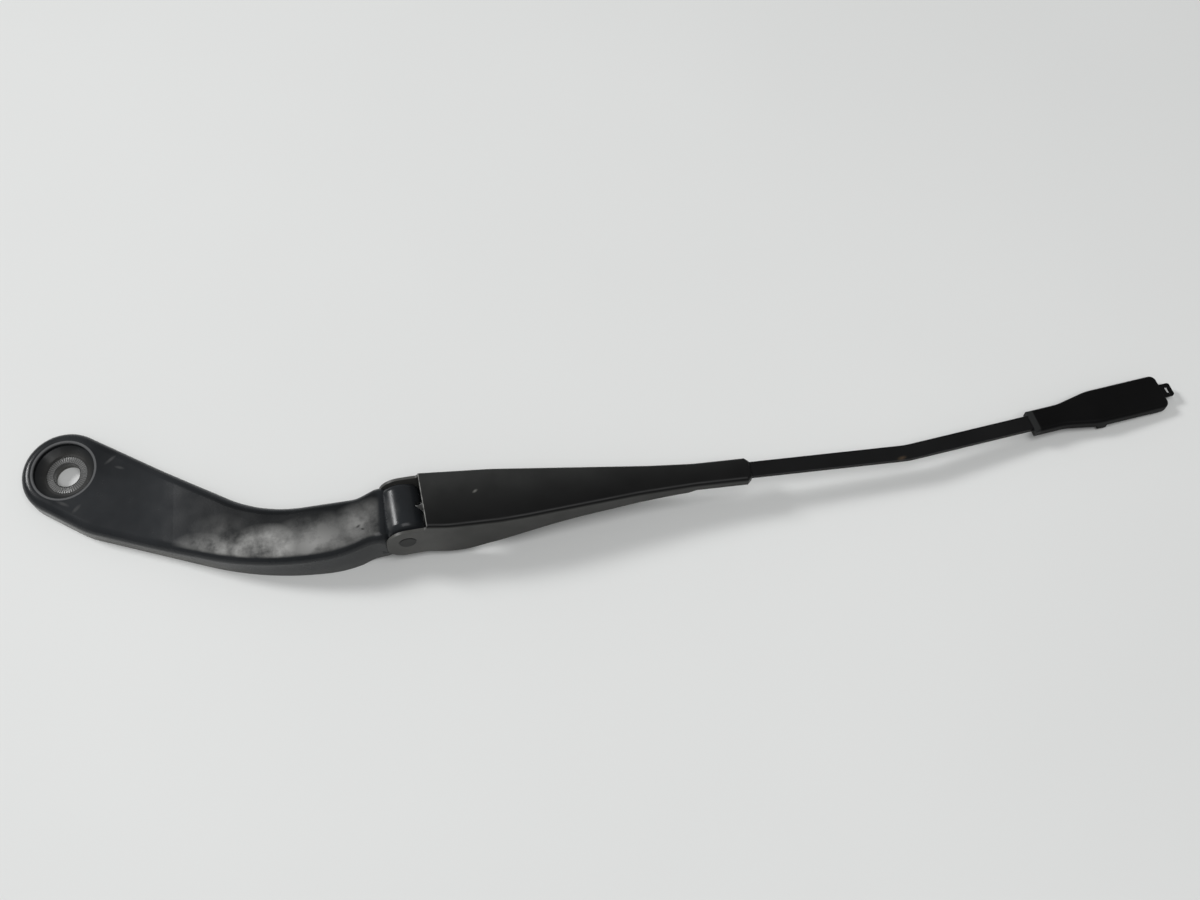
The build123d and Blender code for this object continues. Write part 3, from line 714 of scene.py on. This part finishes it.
# %% Spring: the coil
WIRE_R = 0.95 * MM
COIL_R = 4.6 * MM
COIL_START = 12 * MM
COIL_END = 48 * MM
LEAD_BEND = 2.0 * MM
WIRE_SIDES = 10
STEPS_A_TURN = 28


def bend(mesh, ring, centre, axis, angle, steps, shift=(0, 0, 0)):
    """Spin a ring of edges about an axis; returns the last ring."""
    made = bmesh.ops.spin(
        mesh, geom=ring, cent=centre, axis=axis, dvec=shift, angle=angle, steps=steps,
        use_duplicate=False,
    )
    return [part for part in made["geom_last"] if isinstance(part, bmesh.types.BMEdge)]


first_angle = -acos(LEAD_BEND / COIL_R)
turns = round((COIL_END - COIL_START) / (2 * WIRE_R)) - 1
last_angle = 2 * pi * turns + pi - asin(LEAD_BEND / COIL_R)
coil_angle = last_angle - first_angle
coil_steps = round(STEPS_A_TURN * coil_angle / (2 * pi))
climb = (COIL_END - COIL_START - 2 * WIRE_R) / coil_steps

wire = bmesh.new()
circle = bmesh.ops.create_circle(wire, segments=WIRE_SIDES, radius=WIRE_R)["verts"]
stand = Matrix.Rotation(pi / 2, 4, "X")
to_rim = Matrix.Translation((COIL_START + WIRE_R, 0, COIL_R))
bmesh.ops.transform(wire, matrix=Matrix.Rotation(first_angle, 4, "X") @ to_rim @ stand, verts=circle)
start_ring = list(wire.edges)
end_ring = bend(wire, start_ring, (0, 0, 0), (1, 0, 0), coil_angle, coil_steps, (climb, 0, 0))
print("the coil has", round(coil_angle / (2 * pi), 1), "turns and", len(wire.faces), "faces")

# %% [markdown]
# Both ends of the wire do the same: they bend out of the last turn, run along the axis, bend into a
# hole and stop. So the coil's two open rings are simply spun and extruded further, one to each side.
# Only the way of the last bend differs, up into the rod and towards us into the link.

# %% Spring: leads and hooks
HOOK_BEND = 2.5 * MM
HOOK_REACH = 3.6 * MM
BEND_STEPS = 8


def run(mesh, ring, way):
    """Extrude a ring of edges along a vector; returns the last ring."""
    old_corners = {vert for edge in ring for vert in edge.verts}
    made = bmesh.ops.extrude_edge_only(mesh, edges=ring)["geom"]
    new_corners = [part for part in made if isinstance(part, bmesh.types.BMVert)]
    bmesh.ops.translate(mesh, vec=way, verts=new_corners)
    new_edges = [part for part in made if isinstance(part, bmesh.types.BMEdge)]
    return [edge for edge in new_edges if old_corners.isdisjoint(edge.verts)]


def ring_middle(ring):
    """Middle of a ring of edges."""
    corners = {vert for edge in ring for vert in edge.verts}
    return sum((vert.co for vert in corners), Vector()) / len(corners)


def lead(mesh, ring, heading, stop):
    """Bend a ring out of the coil and run it along the heading to a stop on the coil's axis."""
    middle = ring_middle(ring)
    out = Vector((0, middle.y, middle.z)).normalized()
    ring = bend(mesh, ring, middle + heading * LEAD_BEND, out, pi / 2, BEND_STEPS)
    return run(mesh, ring, (stop - ring_middle(ring).x, 0, 0))


def hook(mesh, ring, heading, way):
    """Bend a ring from its heading into a way, run it through the hole and close its end."""
    centre = ring_middle(ring) + way * HOOK_BEND
    ring = bend(mesh, ring, centre, heading.cross(way), pi / 2, BEND_STEPS)
    ring = run(mesh, ring, way * (HOOK_REACH - ring_middle(ring).dot(way)))
    bmesh.ops.holes_fill(mesh, edges=ring)


to_rod = Vector((1, 0, 0))
to_link = -to_rod
up = Vector((0, 0, 1))
towards_us = Vector((0, -1, 0))
hook(wire, lead(wire, end_ring, to_rod, span.length - HOOK_BEND), to_rod, up)
hook(wire, lead(wire, start_ring, to_link, HOOK_BEND), to_link, towards_us)
print("with its hooks the wire has", len(wire.faces), "faces")

# %% [markdown]
# The wire was made lying along x. Now it is turned to the line between its holes and moved into the
# arm. The object itself stays at the origin and the mesh takes the place, as in the solids, so a
# pattern on Object coordinates stays in its place on the wire. The wire rides on the arm and stands in
# for the plain tube that the model has there.

# %% Spring: into its place
MERGE_DISTANCE = WIRE_R / 100

swing = Matrix.Rotation(atan2(span.y, span.x), 4, "Z")
lift = Matrix.Rotation(-asin(span.z / span.length), 4, "Y")
from_arm = Matrix.Translation(hinge_place) @ arm_turn.to_4x4()

bmesh.ops.remove_doubles(wire, verts=wire.verts, dist=MERGE_DISTANCE)
bmesh.ops.recalc_face_normals(wire, faces=wire.faces)
wire.transform(from_arm @ Matrix.Translation(link_hole) @ swing @ lift)
# the wire is round, and only the two cut ends stay flat
for face in wire.faces:
    face.smooth = len(face.verts) == 4

wound_mesh = bpy.data.meshes.new("wound_spring")
wire.to_mesh(wound_mesh)
wire.free()
wound = bpy.data.objects.new("wound_spring", wound_mesh)
bpy.context.scene.collection.objects.link(wound)
wound.data.materials.append(spring_steel)
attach(wound, "arm")
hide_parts("spring")

# %% [markdown]
# The arm lies on a plain pale table. A studio would use a sweep of paper, and a curved backdrop could
# be modelled too, but from this height only the flat part shows. It is one wide face, a hair below the
# arm so that the two never share a plane, with faint clouds and almost no gloss.

# %% Table
TABLE_HALF = 4.0
TABLE_MIDDLE = 0.25
TABLE_DROP = 0.02 * MM
TABLE_CLOUD = 0.3
TABLE_DARK = (0.735, 0.745, 0.738)
TABLE_LIGHT = (0.755, 0.765, 0.758)
TABLE_ROUGHNESS = 0.75
TABLE_SHINE = 0.2

sheet = bmesh.new()
bmesh.ops.create_grid(sheet, x_segments=1, y_segments=1, size=TABLE_HALF)
bmesh.ops.translate(sheet, vec=(TABLE_MIDDLE, 0, -TABLE_DROP), verts=sheet.verts)
table_mesh = bpy.data.meshes.new("table")
sheet.to_mesh(table_mesh)
sheet.free()
table = bpy.data.objects.new("table", table_mesh)
bpy.context.scene.collection.objects.link(table)

table_white, table_tree, table_shader = start_finish("table_white")
table_colour = clouds(table_tree, object_place(table_tree), TABLE_CLOUD, TABLE_DARK, TABLE_LIGHT)
feed(table_tree, table_shader.inputs["Base Color"], table_colour)
table_shader.inputs["Roughness"].default_value = TABLE_ROUGHNESS
table_shader.inputs["Specular IOR Level"].default_value = TABLE_SHINE
table_mesh.materials.append(table_white)
print("the table is", [round(size, 2) for size in table.dimensions[:2]], "m wide and deep")

# %% [markdown]
# Black paint shows little of its own, so the light has to draw its shape. An even grey room is what
# the flat tops mirror, as a dark sheen, while the near walls mirror the bright table. A soft window at
# the far left draws the highlight along the hinge barrel and sends soft shadows to the right and
# towards us. A grid in front of it keeps its light near the arm, so that the table next to the lamp
# doesn't burn out. A wide ceiling lamp on our side lights the table.

# %% Lamps and room
ROOM_GREY = (0.25, 0.25, 0.25, 1)


def soft_box(name, place, aim, size, power, spread):
    """Square area lamp that looks at a point; a spread under 180 degrees is a grid in front of it."""
    lamp = bpy.data.lights.new(name, "AREA")
    lamp.shape = "SQUARE"
    lamp.size = size
    lamp.energy = power
    lamp.spread = radians(spread)
    way = Vector(aim) - Vector(place)
    holder = bpy.data.objects.new(name, lamp)
    holder.location = place
    holder.rotation_mode = "QUATERNION"
    holder.rotation_quaternion = way.to_track_quat("-Z", "Y")
    bpy.context.scene.collection.objects.link(holder)
    print(name, "gives", power, "W from", round(way.length, 2), "m")


soft_box("window", place=(-2.1, 1.22, 1.98), aim=(0.2, -0.03, 0), size=0.78, power=14.8, spread=90)
soft_box("ceiling", place=(0.5, -0.7, 2.4), aim=(0.4, -0.35, 0), size=1.6, power=28.0, spread=180)
room = bpy.data.worlds.new("room")
room.use_nodes = True
room.node_tree.nodes["Background"].inputs["Color"].default_value = ROOM_GREY
bpy.context.scene.world = room

# %% [markdown]
# The camera stands where the photograph was taken: on the near side, high up, looking down at 65
# degrees and a little to the right. A new camera looks straight down, so it is first tipped up about
# its own x and then turned about the vertical. The Standard view shows colours as they are written.

# %% Camera
CAMERA_PLACE = Vector((240.855, -320.681, 664.380)) * MM
CAMERA_ELEVATION = 65
CAMERA_TURN = -6.21
CAMERA_LENS = 42
CAMERA_SENSOR = 36
CAMERA_NEAR = 0.01

camera = bpy.data.cameras.new("camera")
camera.lens = CAMERA_LENS
camera.sensor_width = CAMERA_SENSOR
camera.clip_start = CAMERA_NEAR
camera_holder = bpy.data.objects.new("camera", camera)
camera_holder.location = CAMERA_PLACE
camera_holder.rotation_euler = (radians(90 - CAMERA_ELEVATION), 0, radians(CAMERA_TURN))
bpy.context.scene.collection.objects.link(camera_holder)
bpy.context.scene.camera = camera_holder
bpy.context.scene.view_settings.view_transform = "Standard"
print("the camera stands", round(CAMERA_PLACE.z, 2), "m over the table")
